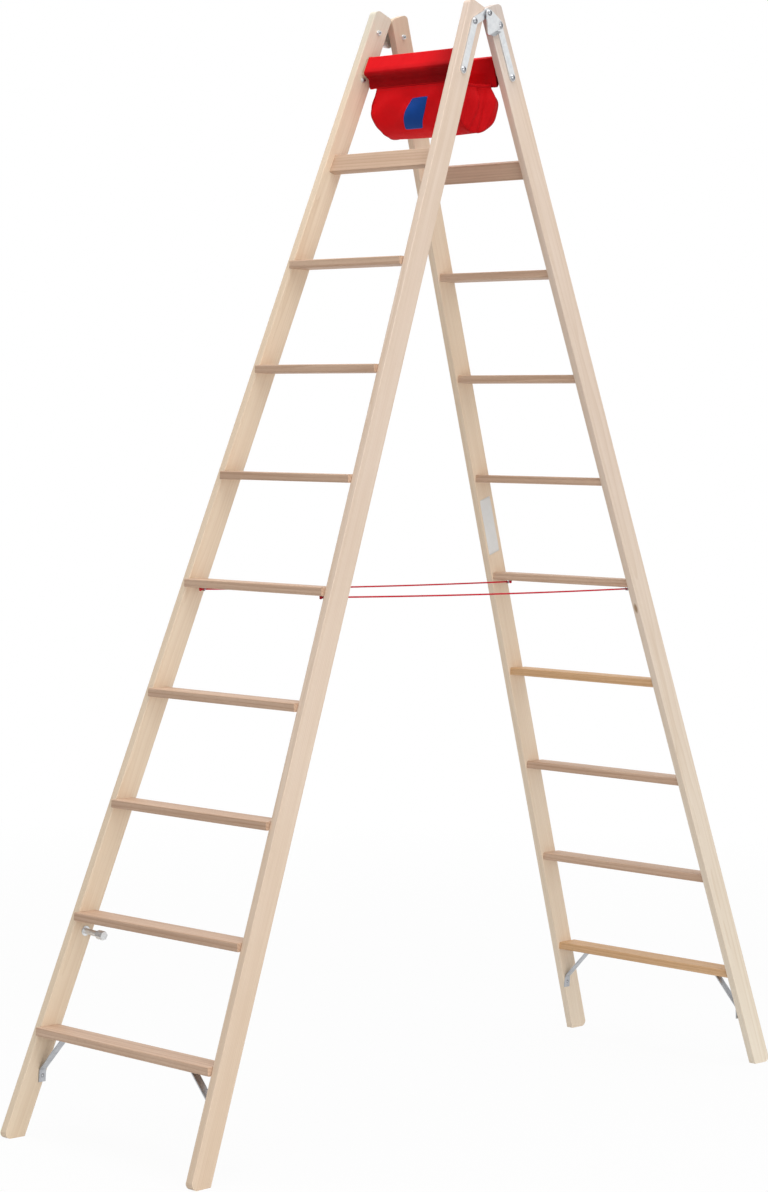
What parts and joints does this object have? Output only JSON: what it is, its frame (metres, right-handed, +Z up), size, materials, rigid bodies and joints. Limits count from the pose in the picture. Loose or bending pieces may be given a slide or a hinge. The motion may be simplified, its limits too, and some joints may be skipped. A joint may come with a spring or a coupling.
{
  "type": "trestle ladder",
  "caption": "Wooden folding trestle ladder: splayed rung sections hinged at the top, held open by cords, with a cloth tool pouch between the top rails.",
  "frame": {"origin": "on the floor, midway between the four feet", "axes": "+X along the rungs, +Y from the front section to the rear section, +Z up"},
  "size_m": [0.6648, 2.1112, 2.7447],
  "materials": {
    "stile_wood": "fine planed pale softwood, matt",
    "rung_wood": "planed hardwood, matt",
    "zinc_steel": "zinc plated, satin",
    "red_cloth": "coated woven cloth",
    "red_cord": "braided cord"
  },
  "bodies": {
    "front_section": {"front_stile_right": "stile_wood", "front_stile_left": "stile_wood", "front_rung_1": "rung_wood", "front_rung_2": "rung_wood", "front_rung_3": "rung_wood", "front_rung_4": "rung_wood", "front_rung_5": "rung_wood", "front_rung_6": "rung_wood", "front_rung_7": "rung_wood", "front_rung_8": "rung_wood", "front_rail": "stile_wood", "front_pouch_rail": "stile_wood", "front_strap_right": "zinc_steel", "front_strap_left": "zinc_steel", "hinge_pin_right": "zinc_steel", "hinge_pin_left": "zinc_steel", "front_strap_bolts": "zinc_steel", "front_strap_nuts": "zinc_steel", "front_strut_right": "zinc_steel", "front_strut_left": "zinc_steel", "front_strut_screws": "zinc_steel", "spread_cord_right": "red_cord", "spread_cord_left": "red_cord", "front_cord_staples": "zinc_steel", "tool_pouch": "red_cloth", "catch_bolt": "zinc_steel", "catch_washer": "zinc_steel", "stop_stud": "zinc_steel"},
    "rear_section": {"rear_stile_right": "stile_wood", "rear_stile_left": "stile_wood", "rear_rung_1": "rung_wood", "rear_rung_2": "rung_wood", "rear_rung_3": "rung_wood", "rear_rung_4": "rung_wood", "rear_rung_5": "rung_wood", "rear_rung_6": "rung_wood", "rear_rung_7": "rung_wood", "rear_rung_8": "rung_wood", "rear_rail": "stile_wood", "rear_pouch_rail": "stile_wood", "rear_strap_right": "zinc_steel", "rear_strap_left": "zinc_steel", "rear_leaf_right": "zinc_steel", "rear_leaf_left": "zinc_steel", "rear_strap_bolts": "zinc_steel", "rear_strap_nuts": "zinc_steel", "rear_strut_right": "zinc_steel", "rear_strut_left": "zinc_steel", "rear_strut_screws": "zinc_steel", "rear_cord_staples": "zinc_steel"}
  },
  "joints": [
    {"name": "fold", "type": "hinge", "parent": "front_section", "child": "rear_section", "pos_m": [0, 0, 2.71597], "axis": [-1, 0, 0], "range_deg": [0, 40], "deforming": ["tool_pouch", "spread_cord_right", "spread_cord_left"]}
  ]
}
